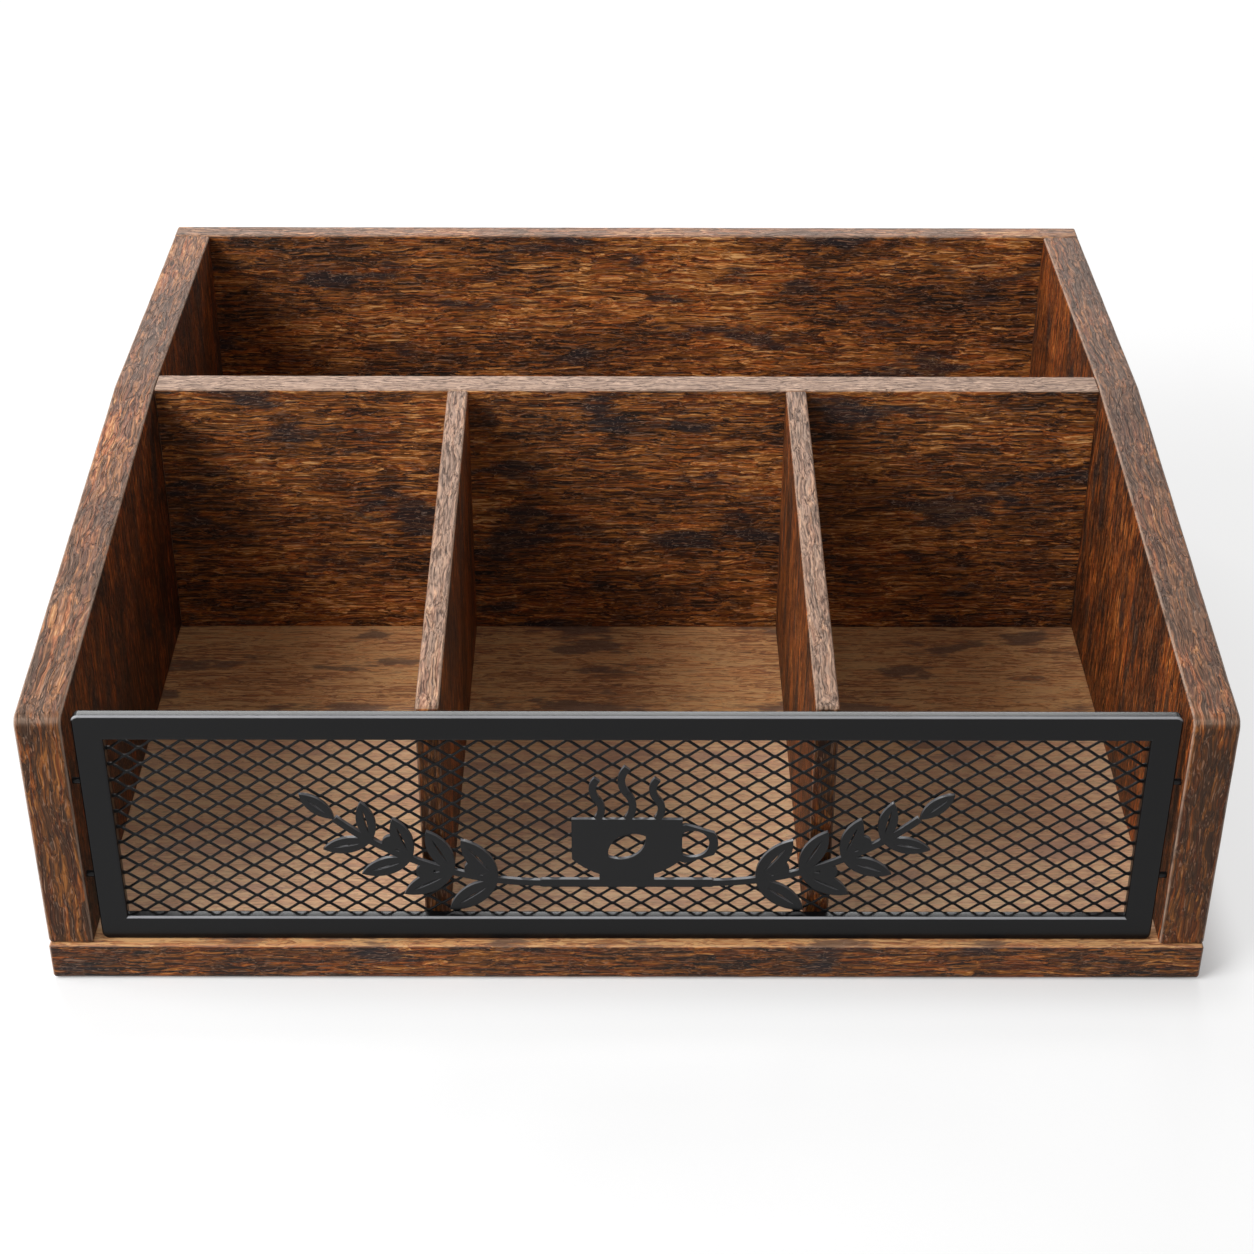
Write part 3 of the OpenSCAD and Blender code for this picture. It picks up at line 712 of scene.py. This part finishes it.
def makeOrnament():
    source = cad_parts["front_ornament"].data
    low, high = corner("front_ornament")
    shell = bmesh.new()
    shell.from_mesh(source)
    bmesh.ops.scale(shell, vec=(1 / mm,) * 3, verts=shell.verts)
    bmesh.ops.remove_doubles(shell, verts=shell.verts, dist=0.001)
    shell.normal_update()
    # the rim's weight below sets the coat's painted highlight on the chamfer
    mark = shell.verts.layers.float.new("arris")
    for way, level in ((-1, low.y), (1, high.y)):
        flat = [face for face in shell.faces if face.normal.y * way > 0.99]
        bmesh.ops.inset_region(shell, faces=flat, thickness=ornament["chamfer"], depth=0, use_boundary=True,
                               use_even_offset=False)
        inner = {vertex for face in flat for vertex in face.verts}
        for vertex in shell.verts:  # the rim of this side goes back, which leaves a chamfer
            if vertex not in inner and abs(vertex.co.y - level) < ornament["slack"]:
                vertex.co.y -= way * ornament["chamfer"] * ornament["slope"]
                vertex[mark] = ornament["rub"]
    shell.normal_update()
    return addPiece("frontOrnament", shell, makeCoat("ornament"), "front_ornament")


makeOrnament()
print("ornament is made")


zinc = {"bright": shade(205, 207, 210), "dull": shade(140, 138, 132), "rough": 0.28}
beech = {"light": shade(214, 176, 126), "dark": shade(176, 132, 84), "rough": 0.6}


def makeZinc():
    one = newRecipe("zinc")
    place = one.millimetres()
    spangle = one.cells(place, 1.8)
    stain = one.noise(place, 0.7, 4.0, 0.6)
    colour = one.tint(spangle * 0.4 + stain * 0.5, zinc["bright"], zinc["dull"])
    scratches = one.noise(one.vector("MULTIPLY", place, (9, 9, 0.7)), 1.0, 2.0, 0.6)
    return one.finish(colour, zinc["rough"] + stain * 0.25, scratches, 0.02, 0.6, Metallic=1.0)


def makeBeech():
    one = newRecipe("beech")
    place = one.millimetres()
    fibres = one.noise(one.vector("MULTIPLY", place, (0.25, 1.4, 3.0)), 1.0, 3.0, 0.6)
    colour = one.tint(fibres, beech["light"], beech["dark"])
    return one.finish(colour, beech["rough"] - fibres * 0.1, fibres, 0.05, 0.6)


finishes = {"screws": makeZinc(), "dowels": makeBeech(), "pins": frameCoat}
for node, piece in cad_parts.items():
    kind = node.split("_")[-1]
    if kind in finishes:
        piece.data.materials.clear()
        piece.data.materials.append(finishes[kind])
print("fasteners have their finish")


stage = {"half": 4, "under": 0.0002, "rough": 0.9, "grit": 900, "gritShade": 0.01,
         # grey and own light of the floor, out in the open and close beside the piece
         "open": (0.32, 0.65), "beside": (0.74, 0.19),
         "footprint": (0.16, 0.145, 0.0), "band": (0.009, 0.009), "whiteFrom": (0.75, 0.35)}
sky = (0.32, 1.0)  # strength of what lights the piece, and of what the camera sees
lamps = {"key": ((-1.2, -0.75, 0.9), (0, 0, 0.05), (0.8, 0.8), 16.5),
         "overhead": ((-0.75, -0.35, 0.9), (-0.05, -0.05, 0.05), (1.1, 0.2), 7),
         "rear": ((-0.2, 1.5, 1.12), (0, -0.1, 0.08), (1.6, 0.35), 24)}  # place, aim, size and watts


def makeStage():
    one = newRecipe("pale floor")
    place = one.node("TexCoord", None, None, 3)
    grit = one.noise(place, stage["grit"], 2, 0.5)

    def paint(grey, glow):  # the paler the floor's own light, the fainter the shadow on it
        colours = [(level,) * 3 + (1,) for level in (grey, grey + stage["gritShade"])]
        plain = one.node("BsdfPrincipled", None, {"Base Color": one.tint(grit, *colours),
                                                  "Roughness": stage["rough"], "Specular IOR Level": 0.0})
        own = one.node("Emission", None, {"Strength": glow})
        return plain, one.node("AddShader", None, {0: plain, 1: own})

    plain, near = paint(*stage["open"])
    beside = paint(*stage["beside"])[1]
    # how far a place is from the piece's own footprint
    out = one.vector("SUBTRACT", one.vector("ABSOLUTE", place, (0, 0, 0)), stage["footprint"])
    out = one.vector("MULTIPLY", one.vector("MAXIMUM", out, (0, 0, -1)), (1, 1, 0))
    gap = one.node("VectorMath", {"operation": "LENGTH"}, {0: out}, 1)
    far = one.node("VectorMath", {"operation": "LENGTH"}, {0: place}, 1).above(*stage["whiteFrom"])
    look = one.node("MixShader", None, {0: gap.above(*stage["band"]), 1: beside, 2: near})
    look = one.node("MixShader", None, {0: far, 1: look, 2: one.node("Emission", None, {"Strength": 1.0})})
    look = one.node("MixShader", None, {0: one.seen(), 1: plain, 2: look})
    one.node("OutputMaterial", None, {"Surface": look})
    shell = bmesh.new()
    bmesh.ops.create_grid(shell, x_segments=4, y_segments=4, size=stage["half"])
    data = bpy.data.meshes.new("floor")
    shell.to_mesh(data)
    shell.free()
    floor = bpy.data.objects.new("floor", data)
    data.materials.append(one.owner)
    floor.location.z = -stage["under"]
    bpy.context.scene.collection.objects.link(floor)


def makeSky():
    world = bpy.data.worlds.new("studio")
    bpy.context.scene.world = world
    one = Recipe(world)
    light, backdrop = (one.node("Background", None, {"Color": (1, 1, 1, 1), "Strength": level})
                       for level in sky)
    look = one.node("MixShader", None, {0: one.seen(), 1: light, 2: backdrop})
    one.node("OutputWorld", None, {"Surface": look})


def makeLamp(name, place, aim, size, power):
    data = bpy.data.lights.new(name, "AREA")
    data.shape = "RECTANGLE"
    data.size, data.size_y = size
    data.energy = power
    lamp = bpy.data.objects.new(name, data)
    way = (Vector(aim) - Vector(place)).normalized()
    lamp.matrix_world = Matrix.Translation(place) @ way.to_track_quat("-Z", "Y").to_matrix().to_4x4()
    bpy.context.scene.collection.objects.link(lamp)


makeStage()
makeSky()
for name, settings in lamps.items():
    makeLamp(name, *settings)
bpy.context.scene.view_settings.view_transform = "Standard"
print("stage is lit")
